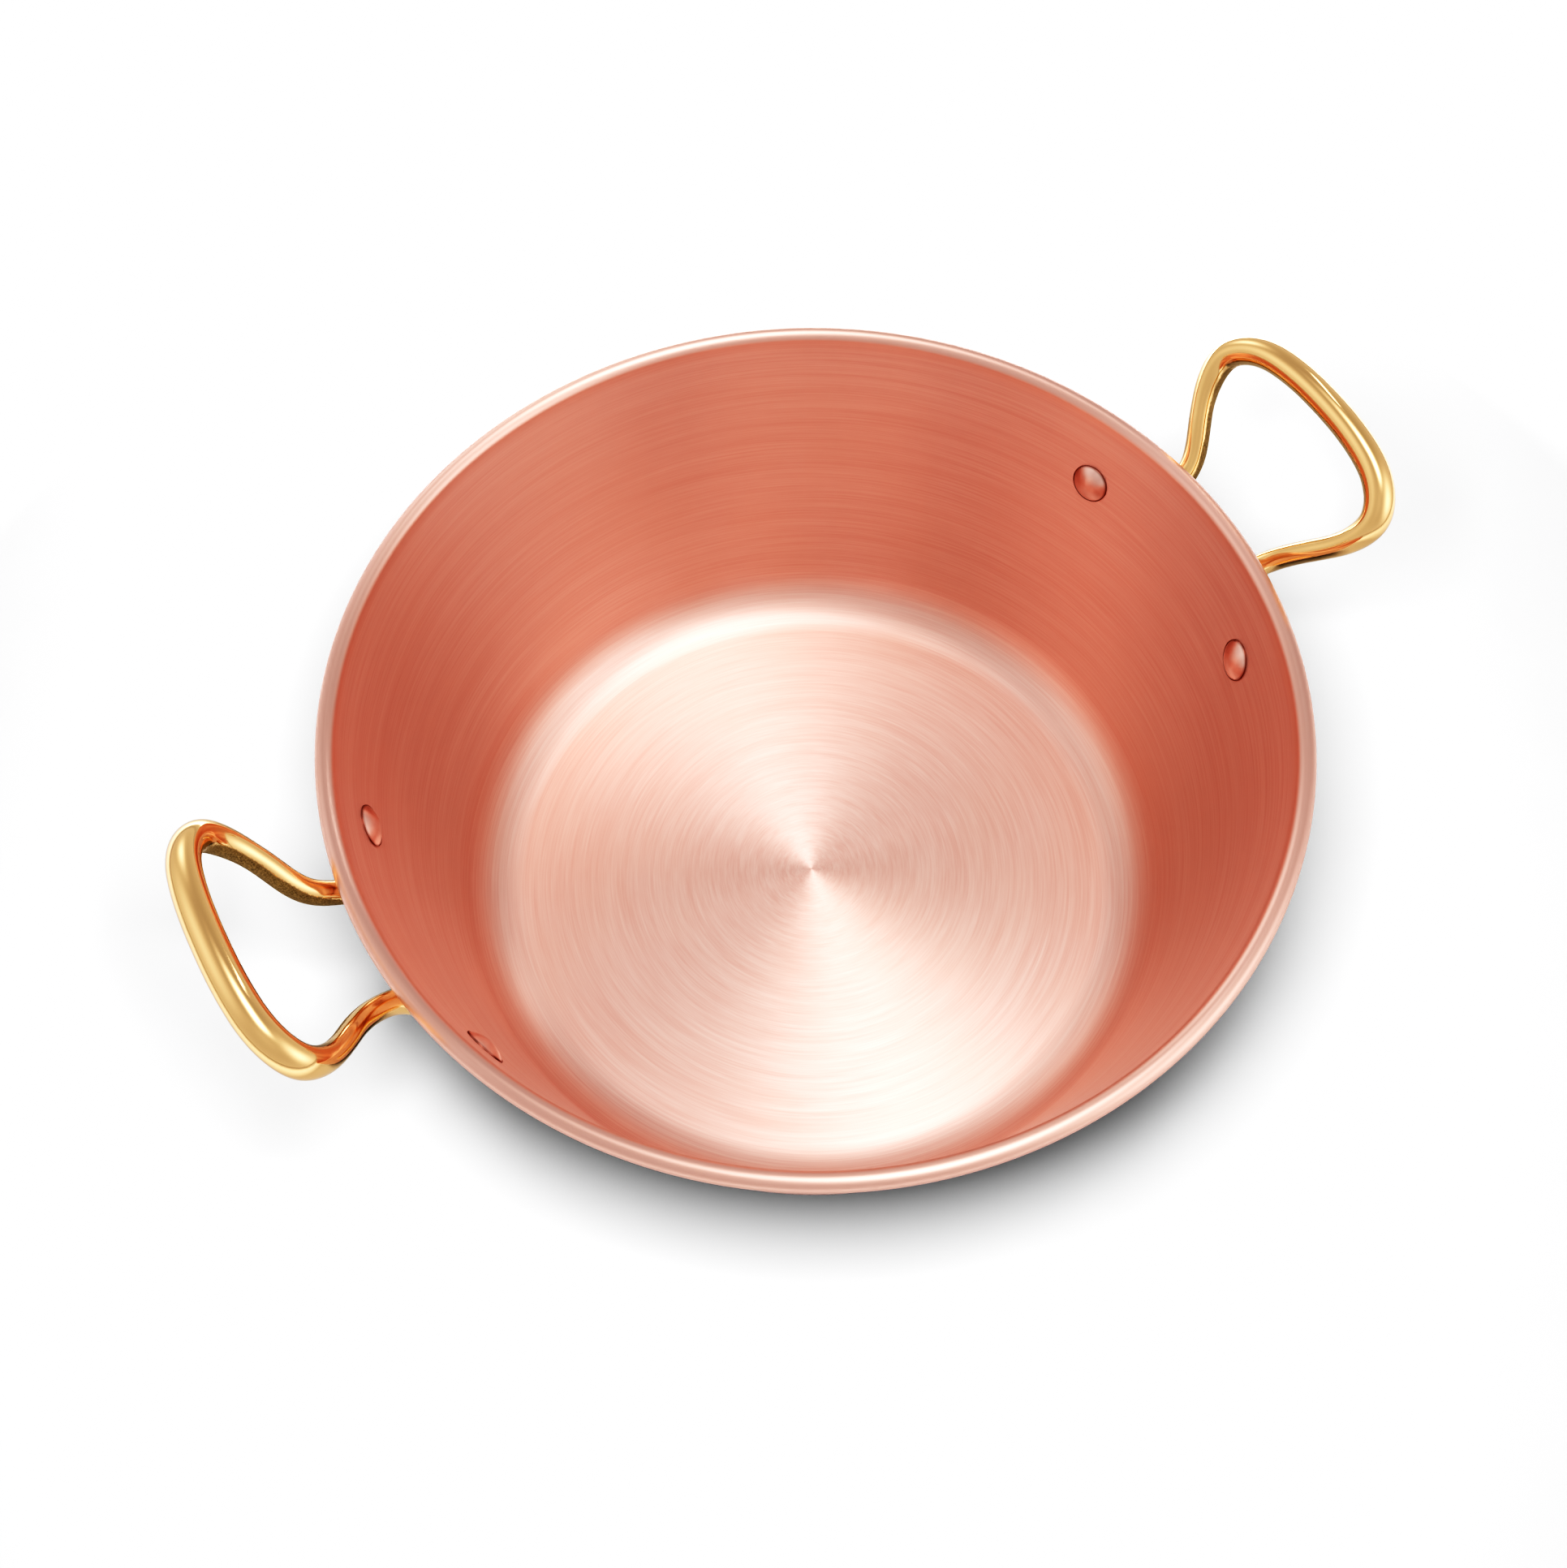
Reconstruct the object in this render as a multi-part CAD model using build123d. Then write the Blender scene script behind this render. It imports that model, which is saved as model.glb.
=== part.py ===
from build123d import *
import os
from math import acos, asin, cos, degrees, radians, sin, sqrt, tan

# A copper jam pan: a spun pan with a rolled rim, and two cast brass handles
# that are riveted to its wall. Millimetres and degrees, +Z up. The origin is
# the middle of the underside of the base. The handles lie along X.

# Pan
rim_radius = 186.3
rim_height = 145.5
wall_lean = 13.0
sheet = 1.5
roll_radius = 3.7
corner_radius = 25.0
curl_gap = 0.3
wire_clearance = 0.3

# Rivets
rivet_half_spacing = 52.6
rivet_drop = 28.9
shank_radius = 4.0
shank_clearance = 0.05
head_radius = 8.5
head_height = 3.4
tail_radius = 7.0
tail_height = 2.6

# Handle route: the grip past and above the middle of the rim, the loop in its
# own leaning plane, and the foot by its distance off the wall
grip_reach = 47.5
grip_rise = 37.1
loop_half_width = 48.2
loop_drop = 59.0
loop_lean = 54.0
knee_standoff = 10.4
knee_rise = -16.9
heel_standoff = 3.8
heel_rise = -23.6
ankle_standoff = 2.0
ankle_rise = -27.8

# Half width of the foot: at the knee and the heel as shares of the loop's, and
# at the ankle as a share of the way from the heel to the rivet
knee_share = 0.523
heel_share = 0.577
ankle_share = 0.408

# Outline of the loop, from the middle of the grip to the neck over the rim, in
# shares of its half width and of its drop
width_shares = (0, 0.5, 0.842, 1, 0.975, 0.78, 0.581)
drop_shares = (0, 0.03, 0.13, 0.287, 0.483, 0.745, 1)

# Handle section: half width in the plane of the handle, half depth across it
grip_half_width = 5.7
grip_half_depth = 6.6
leg_side_half_width = 4.5
leg_side_half_depth = 5.1
ear_half_width = 10.5
ear_half_depth = 5.0
ear_standoff = 1.0
ear_seat = 5.0
ear_overlap = 0.2
seat_margin = 0.6

# Shares of the handle's half route at which its section changes
grip_end_share = 0.34
leg_start_share = 0.52
leg_end_share = 0.72
foot_start_share = 0.78

leg_stations = 14
ear_stations = 4
ring_points = 16

# How a round blank stands on its plane, or hangs under it
standing = (Align.CENTER, Align.CENTER, Align.MIN)
hanging = (Align.CENTER, Align.CENTER, Align.MAX)

# Values that follow from the sizes above
lean = radians(wall_lean)
roll_hollow = roll_radius - sheet
wall_span = sheet / cos(lean)
rivet_height = rim_height - rivet_drop
wall_top_radius = rim_radius - roll_radius * cos(lean)
wall_top_height = rim_height + roll_radius * sin(lean)
corner_drop = wall_top_height - sheet - corner_radius
corner_middle = wall_top_radius - (corner_drop * sin(lean) + corner_radius) / cos(lean)
knee_half_width = loop_half_width * knee_share
heel_half_width = loop_half_width * heel_share
ankle_half_width = heel_half_width + (rivet_half_spacing - heel_half_width) * ankle_share


def wall_radius(height):
    """Radius of the inner face of the wall at a height."""
    return wall_top_radius - (wall_top_height - height) * tan(lean)


def outer_radius(height):
    """Radius of the outer face of the wall at a height."""
    return wall_radius(height) + wall_span


rivet_turn = degrees(asin(rivet_half_spacing / outer_radius(rivet_height)))


def rivet_plane(turn):
    """Plane on the wall at a rivet, with Z out of the wall and Y up along it."""
    across = radians(turn)
    radius = outer_radius(rivet_height)
    place = Vector(radius * cos(across), radius * sin(across), rivet_height)
    outward = Vector(cos(across) * cos(lean), sin(across) * cos(lean), -sin(lean))
    sideways = Vector(-sin(across), cos(across), 0)
    return Plane(origin=place, x_dir=sideways, z_dir=outward)


def rivet_hole(turn):
    """Round cutter for the shank of a rivet."""
    reach = roll_radius + ear_seat + tail_height + ear_half_depth
    return rivet_plane(turn) * Cylinder(shank_radius + shank_clearance, 2 * reach)


def pan_profile():
    """Half section of the sheet: base, corner, wall and the curl of the rim."""
    inward = Vector(-cos(lean), sin(lean))
    roll_middle = Vector(rim_radius, rim_height)
    corner = Vector(corner_middle, sheet + corner_radius)
    corner_turn = 90 - wall_lean
    curl_start = 180 - wall_lean
    curl_turn = 360 - degrees(acos((roll_hollow - curl_gap) / roll_radius))
    curl_end = radians(curl_start - curl_turn)
    curl_direction = Vector(cos(curl_end), sin(curl_end))
    with BuildSketch(Plane.XZ) as profile:
        with BuildLine():
            Line((0, 0), (0, sheet))
            Line((0, sheet), (corner_middle, sheet))
            inner_corner = CenterArc(corner, corner_radius, -90, corner_turn)
            Line(inner_corner @ 1, roll_middle + inward * roll_radius)
            CenterArc(roll_middle, roll_radius, curl_start, -curl_turn)
            curl_outside = roll_middle + curl_direction * roll_radius
            curl_inside = roll_middle + curl_direction * roll_hollow
            Line(curl_outside, curl_inside)
            CenterArc(roll_middle, roll_hollow, curl_start - curl_turn, curl_turn)
            outer_corner = CenterArc(corner, corner_radius + sheet, -90, corner_turn)
            Line(roll_middle + inward * roll_hollow, outer_corner @ 1)
            Line((corner_middle, 0), (0, 0))
        make_face()
    return profile.sketch


def pan_body():
    """The spun copper sheet, with the holes for the four rivets."""
    body = revolve(pan_profile(), Axis.Z)
    for turn in rivet_turns():
        body -= rivet_hole(turn)
    return body


def rivet_turns():
    """Turns about Z of the four rivets: right handle, then left handle."""
    return [-rivet_turn, rivet_turn, 180 - rivet_turn, 180 + rivet_turn]


def rim_wire():
    """The wire that the rim is rolled around."""
    return Pos(0, 0, rim_height) * Torus(rim_radius, roll_hollow - wire_clearance)


def loop_point(width_share, drop_share):
    """Point of the loop, in the plane that leans out from the wall."""
    drop = loop_drop * drop_share
    reach = grip_reach - drop * cos(radians(loop_lean))
    rise = grip_rise - drop * sin(radians(loop_lean))
    return Vector(rim_radius + reach, loop_half_width * width_share, rim_height + rise)


def wall_point(half_width, standoff, rise):
    """Point of the handle's route from its distance off the wall."""
    height = rim_height + rise
    radius = outer_radius(height) + standoff / cos(lean)
    return Vector(sqrt(radius ** 2 - half_width ** 2), half_width, height)


def ear_point():
    """Middle of the round ear, over the rivet."""
    return rivet_plane(rivet_turn).from_local_coords((0, 0, ear_standoff))


def handle_route():
    """Middle line of half a handle, from its grip to its ear."""
    points = [loop_point(*shares) for shares in zip(width_shares, drop_shares)]
    points.append(wall_point(knee_half_width, knee_standoff, knee_rise))
    points.append(wall_point(heel_half_width, heel_standoff, heel_rise))
    points.append(wall_point(ankle_half_width, ankle_standoff, ankle_rise))
    points.append(ear_point())
    return Spline(*points, tangents=[(0, 1, 0), rivet_plane(rivet_turn).x_dir])


def eased(share, start, end):
    """Rise from 0 to 1 between two shares, level at both ends."""
    part = min(max((share - start) / (end - start), 0), 1)
    return part * part * (3 - 2 * part)


def section_size(share):
    """Half width and half depth of the handle at a share of its half route."""
    leg = eased(share, grip_end_share, leg_start_share)
    ear = eased(share, leg_end_share, 1)
    half_width = grip_half_width + (leg_side_half_width - grip_half_width) * leg
    half_width += (ear_half_width - leg_side_half_width) * ear
    half_depth = grip_half_depth + (leg_side_half_depth - grip_half_depth) * leg
    half_depth += (ear_half_depth - leg_side_half_depth) * ear
    return half_width, half_depth


def section_plane(route, share):
    """Plane across the route, with X along the handle's width, away from its loop."""
    turned = eased(share, leg_start_share, 1)
    across = radians(rivet_turn) * turned
    loop_droop = 90 - loop_lean
    droop = radians(loop_droop + (wall_lean - loop_droop) * turned)
    face = Vector(cos(across) * cos(droop), sin(across) * cos(droop), -sin(droop))
    along = route % share
    return Plane(origin=route @ share, x_dir=face.cross(along), z_dir=along)


def handle_section(plane, half_width, half_depth):
    """Oval face across the handle."""
    ring = []
    for index in range(ring_points):
        turn = radians(360 * index / ring_points)
        local = (half_width * cos(turn), half_depth * sin(turn), 0)
        ring.append(plane.from_local_coords(local))
    return make_face(Spline(*ring, periodic=True))


def ear_round():
    """Flattened round end of the ear, centred on the rivet."""
    half_width = ear_half_width + ear_overlap
    half_depth = ear_half_depth + ear_overlap
    with BuildSketch(Plane.XZ) as half:
        with BuildLine():
            EllipticalCenterArc((0, 0), half_width, half_depth, start_angle=-90, arc_size=180)
            Line((0, half_depth), (0, -half_depth))
        make_face()
    on_wall = Pos(0, 0, ear_standoff) * revolve(half.sketch, Axis.Z)
    return rivet_plane(rivet_turn) * on_wall


def wall_cutter(radius_at):
    """All the room inside one face of the wall, up to the height of the rim."""
    return Cone(radius_at(0), radius_at(rim_height), rim_height, align=standing)


def handle_stretch(route, start, end, steps):
    """Solid oval stretch of the handle between two shares of its half route."""
    sections = []
    for index in range(steps + 1):
        share = start + (end - start) * index / steps
        sections.append(handle_section(section_plane(route, share), *section_size(share)))
    return loft(sections)


def handle():
    """Cast handle at +X: grip, two legs and two ears, cut to seat on the wall."""
    route = handle_route()
    half = handle_stretch(route, 0, foot_start_share, leg_stations)
    half += handle_stretch(route, foot_start_share, 1, ear_stations)
    half += ear_round()
    whole = half + mirror(half, Plane.XZ)
    whole -= wall_cutter(outer_radius)
    seat = Pos(0, 0, ear_seat) * Cylinder(tail_radius + seat_margin, rivet_drop, align=standing)
    for turn in (-rivet_turn, rivet_turn):
        whole -= rivet_plane(turn) * seat
        whole -= rivet_hole(turn)
    return whole


def dome(radius, height):
    """Shallow round cap that stands on the XY plane."""
    ball = (radius ** 2 + height ** 2) / (2 * height)
    flat = Cylinder(radius, height, align=standing)
    return flat & Pos(0, 0, height - ball) * Sphere(ball)


def rivet(turn):
    """Copper rivet: domed head inside the pan, shank, and a peened tail outside."""
    blank = Cylinder(head_radius, sheet + ear_seat, align=standing)
    domed = Pos(0, 0, -sheet) * (Rot(180, 0, 0) * dome(head_radius, head_height) + blank)
    head = rivet_plane(turn) * domed & wall_cutter(wall_radius)
    shank = Cylinder(shank_radius, sheet + ear_seat + head_height, align=hanging)
    shank_and_tail = Pos(0, 0, ear_seat) * (shank + dome(tail_radius, tail_height))
    return head + rivet_plane(turn) * shank_and_tail


os.makedirs("parts", exist_ok=True)
export_step(pan_body(), "parts/pan_body.step")
export_step(rim_wire(), "parts/rim_wire.step")
export_step(handle(), "parts/handle_right.step")
export_step(Rot(0, 0, 180) * handle(), "parts/handle_left.step")
rivet_names = ["rivet_right_front", "rivet_right_rear", "rivet_left_rear", "rivet_left_front"]
for name, turn in zip(rivet_names, rivet_turns()):
    export_step(rivet(turn), f"parts/{name}.step")
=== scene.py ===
from math import acos, asin, cos, degrees, hypot, pi, radians, sin, sqrt, tan

import bpy
import numpy
from mathutils import Matrix, Vector


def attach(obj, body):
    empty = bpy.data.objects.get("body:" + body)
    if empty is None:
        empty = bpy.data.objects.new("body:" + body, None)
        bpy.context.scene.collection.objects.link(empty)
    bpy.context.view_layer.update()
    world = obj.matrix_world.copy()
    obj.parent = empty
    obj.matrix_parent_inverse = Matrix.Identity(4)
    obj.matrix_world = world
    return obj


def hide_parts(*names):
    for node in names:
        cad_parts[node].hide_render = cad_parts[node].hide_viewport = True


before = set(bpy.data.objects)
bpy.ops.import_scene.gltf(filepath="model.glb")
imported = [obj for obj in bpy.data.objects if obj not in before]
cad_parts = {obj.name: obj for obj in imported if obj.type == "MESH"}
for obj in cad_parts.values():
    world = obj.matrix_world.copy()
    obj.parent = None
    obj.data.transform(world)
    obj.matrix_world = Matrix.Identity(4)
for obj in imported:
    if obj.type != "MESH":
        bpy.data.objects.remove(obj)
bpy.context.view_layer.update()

# A copper jam pan with two riveted brass handles, in metres and degrees, in the
# frame of the CAD model: +Z up, the handles along X, the base on Z = 0.

# Pan
rim_radius = 0.1863
rim_height = 0.1455
wall_lean = 13.0
sheet = 0.0015
roll_radius = 0.0037
corner_radius = 0.025
curl_gap = 0.0003
pan_segments = 288
floor_steps = 24
corner_steps = 32
wall_steps = 30
curl_steps = 48

# Where the look of the roll fades out, in shares of its radius from its middle,
# and where that of the corner rises and falls, past the corner's two ends
roll_fade = (1.02, 1.6)
corner_rise = (-0.006, 0.012)
corner_fall = (-0.004, 0.006)

# Rivets
rivet_half_spacing = 0.0526
rivet_drop = 0.0289
shank_radius = 0.004
head_radius = 0.0085
head_height = 0.0034
head_edge = 0.0005
head_edge_turn = 45
head_edge_steps = 4
tail_radius = 0.007
tail_height = 0.0026
rivet_segments = 64
dome_steps = 16

# Handle route: the grip past and above the middle of the rim, the loop in its
# own leaning plane, and the foot by its distance off the wall
grip_reach = 0.0475
grip_rise = 0.0371
loop_half_width = 0.0482
loop_drop = 0.059
loop_lean = 54.0
knee_standoff = 0.0104
knee_rise = -0.0169
heel_standoff = 0.0038
heel_rise = -0.0236
ankle_standoff = 0.002
ankle_rise = -0.0278
knee_share = 0.523
heel_share = 0.577
ankle_share = 0.408
width_shares = (0, 0.5, 0.842, 1, 0.975, 0.78, 0.581)
drop_shares = (0, 0.03, 0.13, 0.287, 0.483, 0.745, 1)

# Handle section
grip_half_width = 0.0057
grip_half_depth = 0.0066
leg_side_half_width = 0.0045
leg_side_half_depth = 0.0051
ear_half_width = 0.0105
ear_half_depth = 0.005
ear_standoff = 0.001
ear_seat = 0.005
seat_margin = 0.0006
seat_ramp = 0.0006
grip_end_share = 0.34
leg_start_share = 0.52
leg_end_share = 0.72
handle_stations = 110
ear_stations = 14
ring_points = 72

# Raw casting in the loop: the angles round the section over which it starts and
# ends, how raw it is at the grip, and the shares of the route where that grows
cast_start = (100, 125)
cast_end = (190, 215)
cast_at_grip = 0.35
cast_growth = (0.25, 0.5)

# Angles between faces from which an edge stays sharp
sharp_angle = 35
handle_sharp_angle = 50

# Camera of the photograph
camera_place = Vector((-0.18144, -0.30397, 0.72487))
camera_heading = 61.14
camera_pitch = 61.1838
camera_roll = -0.765
sensor_size = 36
photo_focus = 2182.2
photo_height = 1932

# Noise whose marks run round an axis: how fast it changes round the axis and
# along it, its detail and its roughness
hair_noise = (3.0, 1700, 3.0, 0.65)
stroke_noise = (2.0, 620, 3.0, 0.7)
band_noise = (0.8, 130, 3.0, 0.6)
ring_noise = (1.0, 2500, 2.0, 0.6)
wire_noise = (2.0, 3000, 2.0, 0.6)

# Even noise: its scale, its detail and its roughness
cloud_noise = (9.0, 3.0, 0.55)
stain_noise = (70.0, 4.0, 0.7)
dent_noise = (350.0, 2.0, 0.5)
wave_noise = (60.0, 2.0, 0.5)
polish_noise = (900.0, 2.0, 0.6)
grain_noise = (1400.0, 4.0, 0.7)
table_noise = (30.0, 2.0, 0.5)

# The range that most values of a noise lie in
noise_range = (0.3, 0.7)

# Copper: its colours, the ranges of noise that lead from one to the next, and
# the share that each one takes
copper_tint = (0.975, 0.69, 0.613, 1)
copper_deep = (0.90, 0.58, 0.508, 1)
copper_rim = (0.90, 0.57, 0.485, 1)
copper_warm = (0.95, 0.605, 0.49, 1)
# Painted shade round the edge of each rivet head, where it meets the wall: its colour and its width
copper_edge_shade = (0.42, 0.20, 0.16, 1)
edge_shade_width = 0.0010
hair_share = 0.4
stroke_share = 0.4
band_share = 0.2
mark_range = (0.40, 0.60)
cloud_range = (0.45, 0.75)
cloud_share = 0.3
stain_range = (0.60, 0.75)
stain_share = 0.35
rim_share = 0.7
dent_share = 0.6

# Copper: its roughness, which is a little lower on the rim, how far it spreads
# highlights across its marks, and the strength and height of its bumps
pan_rough = (0.33, 0.36)
rim_polish = 0.05
rivet_rough = (0.34, 0.40)
pan_spread = 0.9
rivet_spread = 0.5
quarter_turn = 0.25
pan_bump = (0.30, 0.45)
pan_bump_height = 0.00006
rivet_bump = 0.03
rivet_bump_height = 0.0001

# Brass: its polished colour, the two colours of its raw casting, how uneven the
# border between them is, its roughness, and the strength and height of its bumps
brass_tint = (0.99, 0.67, 0.37, 1)
brass_cast = (0.22, 0.15, 0.08, 1)
brass_grain = (0.50, 0.35, 0.17, 1)
border_grain = 0.3
border_wave = 0.25
border_range = (0.45, 0.7)
tarnish_range = (0.35, 0.65)
brass_rough = (0.10, 0.55)
brass_rough_sway = 0.02
wave_bump = 0.08
wave_bump_height = 0.0008
cast_bump = 0.6
cast_bump_height = 0.0003

# Steel wire
wire_dark = (0.50, 0.50, 0.51, 1)
wire_pale = (0.60, 0.60, 0.61, 1)
wire_rough = (0.3, 0.45)

# Table: the shares of light that it gives to the camera and to metal that
# mirrors it, near the pan and away from it, and the distances between which
# each share changes
table_half = 4.0
table_rough = 0.9
table_sway = 0.001
# Painted light: the table is painted lighter away from the pan, where the key and fill lamps fall off
seen_shares = (0.18, 0.85)
seen_reach = (0.45, 0.9)
mirrored_shares = (0.10, 0.52)
mirrored_reach = (0.35, 0.9)

# Soft surroundings: the level at the horizon, its change up to overhead, and the
# azimuth, elevation, sharpness and level of each glow
sky_level = 0.84
sky_rise = -0.32
glows = (
    (42, 77, 55, 3.85),
    (316, 79, 53, 3.5),
    (217, 53, 7, 0.14),
    (239, 62, 14, 0.15),
    (312, 28, 11, 1.48),
    (145, 37, 12, 0.60),
    (86, 27, 43, 1.5),
)

# Lamps: azimuth, elevation, distance, width, length and level
key_lamp = (236.9, 67.6, 0.70, 0.18, 0.18, 350)
fill_lamp = (64.2, 30, 0.87, 0.81, 0.81, 25)
strip_lamp = (30, 41, 2.0, 0.09, 0.6, 4)

# Tone of the photograph: strong contrast with soft highlights
tone_power = 2.33
tone_white = 1.24
tone_half = 0.5
tone_reach = 3.0
tone_steps = 48

# Values that follow from the sizes above
lean = radians(wall_lean)
roll_hollow = roll_radius - sheet
wall_span = sheet / cos(lean)
rivet_height = rim_height - rivet_drop
wall_top_radius = rim_radius - roll_radius * cos(lean)
wall_top_height = rim_height + roll_radius * sin(lean)
corner_drop = wall_top_height - sheet - corner_radius
corner_middle = wall_top_radius - (corner_drop * sin(lean) + corner_radius) / cos(lean)
corner_end = corner_middle + corner_radius * cos(lean)
knee_half_width = loop_half_width * knee_share
heel_half_width = loop_half_width * heel_share
ankle_half_width = heel_half_width + (rivet_half_spacing - heel_half_width) * ankle_share


def outer_radius(height):
    """Radius of the outer face of the wall at a height."""
    return wall_top_radius - (wall_top_height - height) * tan(lean) + wall_span


rivet_turn = asin(rivet_half_spacing / outer_radius(rivet_height))
rivet_turns = {
    "rivet_right_front": -rivet_turn,
    "rivet_right_rear": rivet_turn,
    "rivet_left_rear": pi - rivet_turn,
    "rivet_left_front": pi + rivet_turn,
}


def eased(share, start, end):
    """Rise from 0 to 1 between two shares, level at both ends."""
    part = min(max((share - start) / (end - start), 0), 1)
    return part * part * (3 - 2 * part)


def arc(middle, radius, start, turn, steps):
    """Points along an arc about a middle, from a start angle."""
    angles = [radians(start + turn * step / steps) for step in range(steps + 1)]
    return [(middle[0] + radius * cos(angle), middle[1] + radius * sin(angle)) for angle in angles]


def line(start, end, steps):
    """Points along a straight line, both ends included."""
    shares = [step / steps for step in range(steps + 1)]
    return [(start[0] + (end[0] - start[0]) * s, start[1] + (end[1] - start[1]) * s) for s in shares]


def joined(*stretches):
    """One outline of several stretches, without the points that they share."""
    outline = list(stretches[0])
    for stretch in stretches[1:]:
        outline += stretch[1:]
    return outline


def mesh_object(name, points, faces, sharp=sharp_angle):
    """A smooth mesh object with its own points and faces."""
    mesh = bpy.data.meshes.new(name)
    mesh.from_pydata(points, [], faces)
    mesh.validate()
    mesh.shade_smooth()
    mesh.set_sharp_from_angle(angle=radians(sharp))
    piece = bpy.data.objects.new(name, mesh)
    bpy.context.scene.collection.objects.link(piece)
    return piece


def lathe(name, outline, segments):
    """A turned piece: an outline of radii and heights, with both ends on the axis."""
    points = [(0, 0, outline[0][1]), (0, 0, outline[-1][1])]
    rings = []
    for radius, height in outline[1:-1]:
        rings.append(range(len(points), len(points) + segments))
        for segment in range(segments):
            turn = 2 * pi * segment / segments
            points.append((radius * cos(turn), radius * sin(turn), height))
    faces = []
    for segment in range(segments):
        after = (segment + 1) % segments
        faces.append((0, rings[0][segment], rings[0][after]))
        for inner, outer in zip(rings, rings[1:]):
            faces.append((inner[segment], outer[segment], outer[after], inner[after]))
        faces.append((rings[-1][segment], 1, rings[-1][after]))
    return mesh_object(name, points, faces)


def weight(piece, name, values):
    """A value at each point of a piece, which its material reads."""
    layer = piece.data.attributes.new(name, "FLOAT", "POINT")
    layer.data.foreach_set("value", values)


def pan_outline():
    """Half section of the sheet, from the middle of the floor round the rim to the base."""
    inward = (-cos(lean), sin(lean))
    roll_middle = (rim_radius, rim_height)
    corner = (corner_middle, sheet + corner_radius)
    corner_turn = 90 - wall_lean
    curl_start = 180 - wall_lean
    curl_turn = 360 - degrees(acos((roll_hollow - curl_gap) / roll_radius))
    inner_corner = arc(corner, corner_radius, -90, corner_turn, corner_steps)
    outer_corner = arc(corner, corner_radius + sheet, corner_turn - 90, -corner_turn, corner_steps)
    curl = arc(roll_middle, roll_radius, curl_start, -curl_turn, curl_steps)
    curl_back = arc(roll_middle, roll_hollow, curl_start - curl_turn, curl_turn, curl_steps)
    wall_top = (rim_radius + inward[0] * roll_radius, rim_height + inward[1] * roll_radius)
    return joined(
        line((0, sheet), (corner_middle, sheet), floor_steps),
        inner_corner,
        line(inner_corner[-1], wall_top, wall_steps),
        curl,
        line(curl[-1], curl_back[0], 1),
        curl_back,
        line(curl_back[-1], outer_corner[0], wall_steps),
        outer_corner,
        line((corner_middle, 0), (0, 0), floor_steps),
    )


def pan():
    """The spun copper sheet, with weights for its rolled rim and for its corner."""
    piece = lathe("pan", pan_outline(), pan_segments)
    rolls = []
    corners = []
    for point in piece.data.vertices:
        radius = hypot(point.co.x, point.co.y)
        away = hypot(radius - rim_radius, point.co.z - rim_height) / roll_radius
        rolls.append(1 - eased(away, *roll_fade))
        rise = eased(radius, corner_middle + corner_rise[0], corner_middle + corner_rise[1])
        fall = eased(radius, corner_end + corner_fall[0], corner_end + corner_fall[1])
        corners.append(rise * (1 - fall))
    weight(piece, "roll", rolls)
    weight(piece, "corner", corners)
    return piece


def rivet_place(turn):
    """Matrix of a rivet's own frame: Z out of the wall, from the wall's outer face."""
    radius = outer_radius(rivet_height)
    outward = Vector((cos(turn) * cos(lean), sin(turn) * cos(lean), -sin(lean)))
    sideways = Vector((-sin(turn), cos(turn), 0))
    upward = outward.cross(sideways)
    place = Matrix((sideways, upward, outward)).transposed().to_4x4()
    place.translation = Vector((radius * cos(turn), radius * sin(turn), rivet_height))
    return place


def dome(radius, height, steps):
    """Shallow round cap, from its edge to its top."""
    ball = (radius ** 2 + height ** 2) / (2 * height)
    reach = asin(radius / ball)
    angles = [reach * (1 - step / steps) for step in range(steps + 1)]
    return [(ball * sin(angle), ball * cos(angle) - (ball - height)) for angle in angles]


def rivet(name, turn):
    """Copper rivet: domed head inside the pan, shank, and a peened tail outside."""
    head_face = -sheet - head_edge
    cap = dome(head_radius - head_edge / 2, head_height - head_edge, dome_steps)
    head = [(radius, head_face - height) for radius, height in reversed(cap)]
    edge_middle = (head_radius - head_edge, head_face)
    edge = arc(edge_middle, head_edge, -head_edge_turn, head_edge_turn, head_edge_steps)[1:]
    underside = [(head_radius, -sheet + head_edge / 2), (shank_radius, -sheet + head_edge / 2)]
    tail = [(radius, ear_seat + height) for radius, height in dome(tail_radius, tail_height, dome_steps)]
    outline = head + edge + underside + [(shank_radius, ear_seat)] + tail
    piece = lathe(name, outline, rivet_segments)
    piece.matrix_world = rivet_place(turn)
    return piece


def loop_point(width_share, drop_share):
    """Point of the loop, in the plane that leans out from the wall."""
    drop = loop_drop * drop_share
    reach = grip_reach - drop * cos(radians(loop_lean))
    rise = grip_rise - drop * sin(radians(loop_lean))
    return Vector((rim_radius + reach, loop_half_width * width_share, rim_height + rise))


def wall_point(half_width, standoff, rise):
    """Point of the handle's route from its distance off the wall."""
    height = rim_height + rise
    radius = outer_radius(height) + standoff / cos(lean)
    return Vector((sqrt(radius ** 2 - half_width ** 2), half_width, height))


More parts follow.
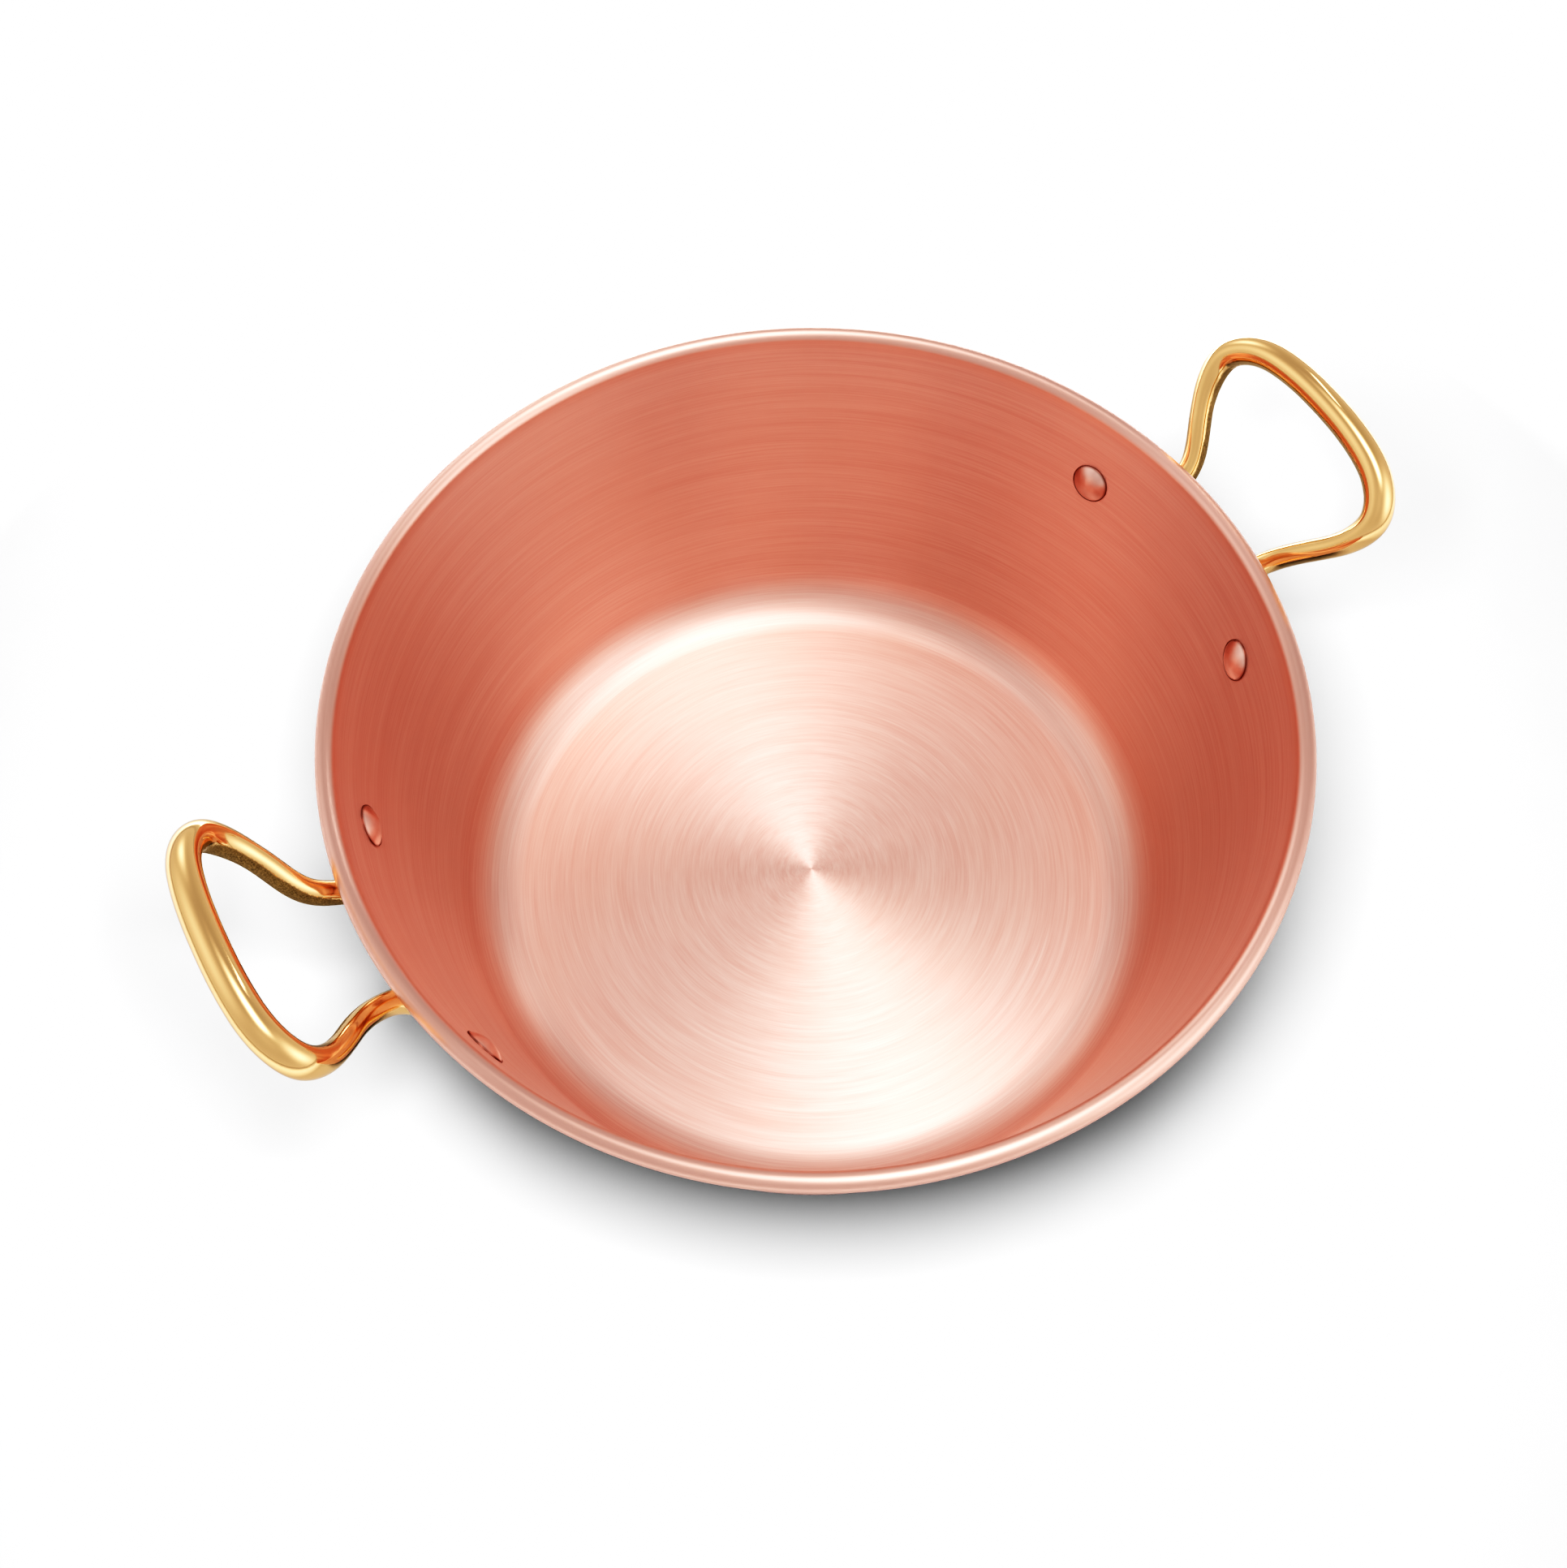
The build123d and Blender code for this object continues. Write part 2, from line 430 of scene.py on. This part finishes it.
class Route:
    """Smooth curve through points, with a given heading at each end."""

    def __init__(self, points, start_heading, end_heading):
        self.points = numpy.array([tuple(point) for point in points])
        steps = numpy.linalg.norm(numpy.diff(self.points, axis=0), axis=1)
        self.marks = numpy.concatenate([[0], numpy.cumsum(steps)])
        count = len(self.points)
        matrix = numpy.eye(count)
        wanted = numpy.zeros((count, 3))
        wanted[0] = tuple(start_heading)
        wanted[-1] = tuple(end_heading)
        for index in range(1, count - 1):
            before, after = steps[index - 1], steps[index]
            matrix[index, index - 1] = 1 / before
            matrix[index, index] = 2 / before + 2 / after
            matrix[index, index + 1] = 1 / after
            wanted[index] = 3 * (self.points[index] - self.points[index - 1]) / before ** 2
            wanted[index] += 3 * (self.points[index + 1] - self.points[index]) / after ** 2
        self.slopes = numpy.linalg.solve(matrix, wanted)

    def at(self, share):
        """Place on the curve and heading there, at a share of its length."""
        mark = share * self.marks[-1]
        index = int(numpy.clip(numpy.searchsorted(self.marks, mark) - 1, 0, len(self.points) - 2))
        span = self.marks[index + 1] - self.marks[index]
        t = (mark - self.marks[index]) / span
        start, end = self.points[index], self.points[index + 1]
        leave, arrive = self.slopes[index] * span, self.slopes[index + 1] * span
        bend = 2 * start - 2 * end + leave + arrive
        sway = 3 * end - 3 * start - 2 * leave - arrive
        place = start + leave * t + sway * t ** 2 + bend * t ** 3
        heading = leave + 2 * sway * t + 3 * bend * t ** 2
        return Vector(place), Vector(heading).normalized()


def handle_route():
    """Middle line of half a handle, from its grip to its ear."""
    points = [loop_point(*shares) for shares in zip(width_shares, drop_shares)]
    points.append(wall_point(knee_half_width, knee_standoff, knee_rise))
    points.append(wall_point(heel_half_width, heel_standoff, heel_rise))
    points.append(wall_point(ankle_half_width, ankle_standoff, ankle_rise))
    over_rivet = rivet_place(rivet_turn)
    points.append(over_rivet @ Vector((0, 0, ear_standoff)))
    return Route(points, Vector((0, 1, 0)), over_rivet.col[0].xyz)


def section_size(share):
    """Half width and half depth of the handle at a share of its half route."""
    leg = eased(share, grip_end_share, leg_start_share)
    ear = eased(share, leg_end_share, 1)
    half_width = grip_half_width + (leg_side_half_width - grip_half_width) * leg
    half_width += (ear_half_width - leg_side_half_width) * ear
    half_depth = grip_half_depth + (leg_side_half_depth - grip_half_depth) * leg
    half_depth += (ear_half_depth - leg_side_half_depth) * ear
    return half_width, half_depth


def section_axes(along, share):
    """Directions of the handle's width, away from its loop, and of its depth."""
    turned = eased(share, leg_start_share, 1)
    across = rivet_turn * turned
    loop_droop = 90 - loop_lean
    droop = radians(loop_droop + (wall_lean - loop_droop) * turned)
    face = Vector((cos(across) * cos(droop), sin(across) * cos(droop), -sin(droop)))
    wide = face.cross(along).normalized()
    return wide, along.cross(wide)


def seated(point):
    """A point of the handle, moved to the wall's outer face or the rivet's seat."""
    turn = rivet_turn if point.y > 0 else -rivet_turn
    on_rivet = rivet_place(turn).inverted() @ point
    away = hypot(on_rivet.x, on_rivet.y)
    seat_radius = tail_radius + seat_margin
    if on_rivet.z > ear_seat and away < seat_radius + seat_ramp:
        on_rivet.z -= (on_rivet.z - ear_seat) * (1 - eased(away, seat_radius, seat_radius + seat_ramp))
        point = rivet_place(turn) @ on_rivet
    gap = (hypot(point.x, point.y) - outer_radius(point.z)) * cos(lean)
    if gap < 0 and point.z < rim_height:
        across = Vector((point.x, point.y, 0)).normalized()
        point = point - gap * (across * cos(lean) - Vector((0, 0, 1)) * sin(lean))
    return point


def cast_weight(turn, share):
    """How rough the casting is left at an angle round its section."""
    inside = eased(turn, *cast_start) * (1 - eased(turn, *cast_end))
    leg = eased(share, *cast_growth)
    return inside * (cast_at_grip + (1 - cast_at_grip) * leg)


def handle_half():
    """Rings of points from the middle of the grip to the tip of the ear, with weights."""
    route = handle_route()
    rings = []
    weights = []
    places = [(share / handle_stations, 0) for share in range(handle_stations + 1)]
    places += [(1, pi / 2 * step / ear_stations) for step in range(1, ear_stations)]
    for share, tip in places:
        middle, along = route.at(share)
        wide, deep = section_axes(along, share)
        half_width, half_depth = section_size(share)
        middle = middle + along * ear_half_width * sin(tip)
        ring = []
        ring_weights = []
        for index in range(ring_points):
            turn = 360 * index / ring_points
            out = wide * half_width * cos(radians(turn)) + deep * half_depth * sin(radians(turn))
            ring.append(seated(middle + out * cos(tip)))
            ring_weights.append(cast_weight(turn, share))
        rings.append(ring)
        weights.append(ring_weights)
    middle, along = route.at(1)
    return rings, weights, seated(middle + along * ear_half_width)


def handle(name, side):
    """Cast handle: grip, two legs and two ears, as one skin."""
    rings, ring_weights, tip = handle_half()
    mirrored = [[Vector((p.x, -p.y, p.z)) for p in ring] for ring in rings]
    ladder = mirrored[:0:-1] + rings
    weights = ring_weights[:0:-1] + ring_weights
    points = [(p.x * side, p.y * side, p.z) for ring in ladder for p in ring]
    faces = []
    for rung in range(len(ladder) - 1):
        for index in range(ring_points):
            after = (index + 1) % ring_points
            here, there = rung * ring_points, (rung + 1) * ring_points
            faces.append((here + index, here + after, there + after, there + index))
    first, last = len(points), len(points) + 1
    top = (len(ladder) - 1) * ring_points
    points += [(tip.x * side, -tip.y * side, tip.z), (tip.x * side, tip.y * side, tip.z)]
    for index in range(ring_points):
        after = (index + 1) % ring_points
        faces.append((first, after, index))
        faces.append((last, top + index, top + after))
    piece = mesh_object(name, points, faces, handle_sharp_angle)
    weight(piece, "cast", [value for ring in weights for value in ring] + [0, 0])
    return piece


def add(tree, kind, inputs, **settings):
    """A node with its settings, and its inputs set to values or linked."""
    node = tree.nodes.new(kind)
    for key, value in settings.items():
        setattr(node, key, value)
    for key, value in inputs.items():
        if isinstance(value, bpy.types.NodeSocket):
            tree.links.new(value, node.inputs[key])
        else:
            node.inputs[key].default_value = value
    return node


def calc(tree, operation, *values):
    """A math node's value."""
    return add(tree, "ShaderNodeMath", dict(enumerate(values)), operation=operation).outputs[0]


def mixed(tree, *parts):
    """Sum of values, each times its share."""
    shared = [calc(tree, "MULTIPLY", value, share) for value, share in parts]
    total = shared[0]
    for value in shared[1:]:
        total = calc(tree, "ADD", total, value)
    return total


def remap(tree, value, low, high, start, end):
    """A value carried from one range to another."""
    node = add(tree, "ShaderNodeMapRange", {0: value, 1: low, 2: high, 3: start, 4: end})
    return node.outputs[0]


def blend(tree, factor, start, end):
    """A colour between two."""
    node = add(tree, "ShaderNodeMix", {0: factor, 6: start, 7: end}, data_type="RGBA")
    return node.outputs[2]


def noise(tree, place, scale, detail, rough):
    """A noise texture's value."""
    inputs = {"Vector": place, "Scale": scale, "Detail": detail, "Roughness": rough}
    return add(tree, "ShaderNodeTexNoise", inputs).outputs[0]


def attribute(tree, name):
    """A weight of the mesh."""
    return add(tree, "ShaderNodeAttribute", {}, attribute_name=name).outputs["Fac"]


def own_place(tree):
    """Place in the piece's own frame."""
    return add(tree, "ShaderNodeTexCoord", {}).outputs["Object"]


def flattened(tree, place):
    """A place moved along Z to the middle of the piece's own frame."""
    parts = add(tree, "ShaderNodeSeparateXYZ", {0: place}).outputs
    return add(tree, "ShaderNodeCombineXYZ", {0: parts[0], 1: parts[1], 2: 0}).outputs[0]


def axis_distance(tree, place):
    """Distance from the piece's Z axis."""
    flat = flattened(tree, place)
    return add(tree, "ShaderNodeVectorMath", {0: flat}, operation="LENGTH").outputs[1]


def lathe_noise(tree, around, along, detail, rough):
    """Noise whose marks run round the piece's Z axis."""
    place = own_place(tree)
    flat = flattened(tree, place)
    way = add(tree, "ShaderNodeVectorMath", {0: flat}, operation="NORMALIZE").outputs[0]
    way = add(tree, "ShaderNodeSeparateXYZ", {0: way}).outputs
    height = add(tree, "ShaderNodeSeparateXYZ", {0: place}).outputs[2]
    reach = calc(tree, "ADD", axis_distance(tree, place), height)
    inputs = {
        0: calc(tree, "MULTIPLY", way[0], around),
        1: calc(tree, "MULTIPLY", way[1], around),
        2: calc(tree, "MULTIPLY", reach, along),
    }
    drawn = add(tree, "ShaderNodeCombineXYZ", inputs).outputs[0]
    return noise(tree, drawn, 1.0, detail, rough)


def shader(name):
    """A new material: its node tree and its shader node."""
    material = bpy.data.materials.new(name)
    material.use_nodes = True
    tree = material.node_tree
    tree.nodes.clear()
    surface = add(tree, "ShaderNodeBsdfPrincipled", {})
    add(tree, "ShaderNodeOutputMaterial", {"Surface": surface.outputs[0]})
    return material, tree, surface


def make_metal(tree, surface, colour, rough):
    """Gives a surface the look of metal, with its colour and its roughness."""
    surface.inputs["Metallic"].default_value = 1.0
    tree.links.new(colour, surface.inputs["Base Color"])
    tree.links.new(rough, surface.inputs["Roughness"])


def make_brushed(tree, surface, spread):
    """Spreads highlights across brush marks that run round the piece's Z axis."""
    surface.inputs["Anisotropic"].default_value = spread
    surface.inputs["Anisotropic Rotation"].default_value = quarter_turn
    round_axis = add(tree, "ShaderNodeTangent", {}, direction_type="RADIAL", axis="Z").outputs[0]
    tree.links.new(round_axis, surface.inputs["Tangent"])


def spun_copper():
    """Brushed copper of the pan: marks round its axis, a redder and smoother rim."""
    material, tree, surface = shader("spun copper")
    hairs = lathe_noise(tree, *hair_noise)
    strokes = lathe_noise(tree, *stroke_noise)
    bands = lathe_noise(tree, *band_noise)
    place = own_place(tree)
    clouds = noise(tree, place, *cloud_noise)
    stains = noise(tree, place, *stain_noise)
    roll = attribute(tree, "roll")
    corner = attribute(tree, "corner")
    tone = mixed(tree, (hairs, hair_share), (strokes, stroke_share), (bands, band_share))
    colour = blend(tree, remap(tree, tone, *mark_range, 0, 1), copper_tint, copper_deep)
    colour = blend(tree, remap(tree, clouds, *cloud_range, 0, cloud_share), colour, copper_warm)
    colour = blend(tree, calc(tree, "MULTIPLY", roll, rim_share), colour, copper_rim)
    stained = calc(tree, "MULTIPLY", remap(tree, stains, *stain_range, 0, stain_share), roll)
    colour = blend(tree, stained, colour, copper_warm)
    rough = remap(tree, strokes, *noise_range, *pan_rough)
    rough = calc(tree, "ADD", rough, calc(tree, "MULTIPLY", roll, -rim_polish))
    marks = mixed(tree, (hairs, 0.5), (strokes, 0.5))
    depth = remap(tree, corner, 0, 1, *pan_bump)
    bump = add(tree, "ShaderNodeBump", {"Strength": depth, "Distance": pan_bump_height, "Height": marks})
    make_metal(tree, surface, colour, rough)
    make_brushed(tree, surface, pan_spread)
    tree.links.new(bump.outputs[0], surface.inputs["Normal"])
    return material


def rivet_copper():
    """Copper of the rivets, with fine turned rings and painted shade round the edge of each head."""
    material, tree, surface = shader("rivet copper")
    rings = lathe_noise(tree, *ring_noise)
    place = own_place(tree)
    dents = noise(tree, place, *dent_noise)
    colour = blend(tree, remap(tree, dents, *noise_range, 0, dent_share), copper_tint, copper_deep)
    # Painted shade: the outer edge of each head is darkened, where it meets the wall
    edge_shade = remap(tree, axis_distance(tree, place), head_radius - edge_shade_width, head_radius, 0, 1)
    colour = blend(tree, edge_shade, colour, copper_edge_shade)
    marks = mixed(tree, (rings, 0.5), (dents, 0.5))
    inputs = {"Strength": rivet_bump, "Distance": rivet_bump_height, "Height": marks}
    bump = add(tree, "ShaderNodeBump", inputs)
    make_metal(tree, surface, colour, remap(tree, rings, *noise_range, *rivet_rough))
    make_brushed(tree, surface, rivet_spread)
    tree.links.new(bump.outputs[0], surface.inputs["Normal"])
    return material


def cast_brass():
    """Brass of the handles: polished skin, and the raw casting in the loop."""
    material, tree, surface = shader("cast brass")
    place = own_place(tree)
    waves = noise(tree, place, *wave_noise)
    hairs = noise(tree, place, *polish_noise)
    grains = noise(tree, place, *grain_noise)
    uneven = remap(tree, grains, *noise_range, -border_grain, border_grain)
    border = calc(tree, "ADD", attribute(tree, "cast"), uneven)
    wavy = remap(tree, waves, *noise_range, -border_wave, border_wave)
    border = calc(tree, "ADD", border, wavy)
    raw = remap(tree, border, *border_range, 0, 1)
    tarnish = blend(tree, remap(tree, grains, *tarnish_range, 0, 1), brass_cast, brass_grain)
    rough = remap(tree, raw, 0, 1, *brass_rough)
    sway = remap(tree, hairs, *noise_range, -brass_rough_sway, brass_rough_sway)
    rough = calc(tree, "ADD", rough, sway)
    inputs = {"Strength": wave_bump, "Distance": wave_bump_height, "Height": waves}
    polish = add(tree, "ShaderNodeBump", inputs)
    depth = calc(tree, "MULTIPLY", raw, cast_bump)
    inputs = {"Strength": depth, "Distance": cast_bump_height, "Height": grains}
    bump = add(tree, "ShaderNodeBump", {**inputs, "Normal": polish.outputs[0]})
    make_metal(tree, surface, blend(tree, raw, brass_tint, tarnish), rough)
    tree.links.new(bump.outputs[0], surface.inputs["Normal"])
    return material


def wire_steel():
    """Plain drawn wire inside the rolled rim."""
    material, tree, surface = shader("wire steel")
    lines = lathe_noise(tree, *wire_noise)
    rough = remap(tree, lines, *noise_range, *wire_rough)
    make_metal(tree, surface, blend(tree, lines, wire_dark, wire_pale), rough)
    return material


def table_white():
    """The plain white table, painted lighter away from the pan where the lamps' light falls off, which
    metal mirrors dimmer than the camera sees it.
    """
    material, tree, surface = shader("table white")
    place = own_place(tree)
    away = axis_distance(tree, place)
    # Painted light: the table grows lighter away from the pan, where the key and fill lamps fall off
    mirrored = remap(tree, away, *mirrored_reach, *mirrored_shares)
    seen = remap(tree, away, *seen_reach, *seen_shares)
    to_camera = add(tree, "ShaderNodeLightPath", {}).outputs["Is Camera Ray"]
    tone = remap(tree, to_camera, 0, 1, mirrored, seen)
    grain = noise(tree, place, *table_noise)
    tone = calc(tree, "ADD", tone, remap(tree, grain, *noise_range, -table_sway, table_sway))
    tree.links.new(tone, surface.inputs["Base Color"])
    surface.inputs["Roughness"].default_value = table_rough
    surface.inputs["Specular IOR Level"].default_value = 0
    return material


def take(piece, material, node):
    """Dresses a piece that stands for a CAD node."""
    piece.data.materials.append(material)
    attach(piece, "root")
    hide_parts(node)


def pointing(azimuth, elevation):
    """Direction at an azimuth and an elevation in degrees."""
    level = radians(elevation)
    return Vector((cos(radians(azimuth)) * cos(level), sin(radians(azimuth)) * cos(level), sin(level)))


def studio():
    """The surroundings that the metal mirrors: a plain sky with soft glows."""
    world = bpy.data.worlds.new("studio")
    bpy.context.scene.world = world
    world.use_nodes = True
    tree = world.node_tree
    tree.nodes.clear()
    way = add(tree, "ShaderNodeTexCoord", {}).outputs["Generated"]
    height = add(tree, "ShaderNodeSeparateXYZ", {0: way}).outputs[2]
    level = remap(tree, height, 0, 1, sky_level, sky_level + sky_rise)
    for azimuth, elevation, sharpness, strength in glows:
        inputs = {0: way, 1: pointing(azimuth, elevation)}
        nearness = add(tree, "ShaderNodeVectorMath", inputs, operation="DOT_PRODUCT").outputs[1]
        fall = calc(tree, "MULTIPLY", calc(tree, "SUBTRACT", nearness, 1), sharpness)
        glow = calc(tree, "MULTIPLY", calc(tree, "EXPONENT", fall), strength)
        level = calc(tree, "ADD", level, glow)
    sky = add(tree, "ShaderNodeBackground", {"Color": (1, 1, 1, 1), "Strength": level})
    add(tree, "ShaderNodeOutputWorld", {"Surface": sky.outputs[0]})


def softbox(name, azimuth, elevation, distance, width, length, level):
    """A soft lamp that faces the pan, placed by its direction from it, out of view."""
    lamp = bpy.data.lights.new(name, "AREA")
    lamp.shape = "RECTANGLE"
    lamp.size = width
    lamp.size_y = length
    lamp.energy = level * pi * width * length
    holder = bpy.data.objects.new(name, lamp)
    bpy.context.scene.collection.objects.link(holder)
    way = pointing(azimuth, elevation)
    holder.location = way * distance
    holder.rotation_euler = way.to_track_quat("Z", "Y").to_euler()
    holder.visible_camera = False
    return holder


def set_tone():
    """Lays the tone curve over the scene's light."""
    settings = bpy.context.scene.view_settings
    settings.view_transform = "Standard"
    settings.use_curve_mapping = True
    mapping = settings.curve_mapping
    mapping.white_level = (tone_reach, tone_reach, tone_reach)
    curve = mapping.curves[3]
    for step in range(1, tone_steps + 1):
        light = (tone_reach * step / tone_steps) ** tone_power
        level = min(tone_white * light / (light + tone_half), 1)
        if step < tone_steps:
            curve.points.new(step / tone_steps, level)
        else:
            curve.points[-1].location = (1, level)
    mapping.update()


# The pieces of the pan
copper = spun_copper()
take(pan(), copper, "pan_body")
rivets = rivet_copper()
for node, turn in rivet_turns.items():
    take(rivet(node + "_piece", turn), rivets, node)
brass = cast_brass()
take(handle("handle_right_piece", 1), brass, "handle_right")
take(handle("handle_left_piece", -1), brass, "handle_left")
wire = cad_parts["rim_wire"]
wire.data.materials.clear()
wire.data.materials.append(wire_steel())

# Table
table = mesh_object("table", [
    (-table_half, -table_half, 0),
    (table_half, -table_half, 0),
    (table_half, table_half, 0),
    (-table_half, table_half, 0),
], [(0, 1, 2, 3)])
table.data.materials.append(table_white())

# Light: metal doesn't mirror the key and fill lamps, only the sky and the strip
studio()
key = softbox("key", *key_lamp)
fill = softbox("fill", *fill_lamp)
softbox("strip", *strip_lamp)
for lamp in (key, fill):
    lamp.visible_glossy = False

# Camera
heading = radians(camera_heading)
pitch = radians(camera_pitch)
roll = radians(camera_roll)
forward = Vector((cos(pitch) * cos(heading), cos(pitch) * sin(heading), -sin(pitch)))
level_right = Vector((sin(heading), -cos(heading), 0))
level_up = level_right.cross(forward)
right = level_right * cos(roll) + level_up * sin(roll)
up = level_up * cos(roll) - level_right * sin(roll)
view = Matrix((right, up, -forward)).transposed().to_4x4()
view.translation = camera_place
camera = bpy.data.objects.new("camera", bpy.data.cameras.new("camera"))
bpy.context.scene.collection.objects.link(camera)
camera.matrix_world = view
camera.data.sensor_width = sensor_size
camera.data.lens = sensor_size * photo_focus / photo_height
bpy.context.scene.camera = camera

set_tone()
bpy.context.scene.cycles.caustics_reflective = False
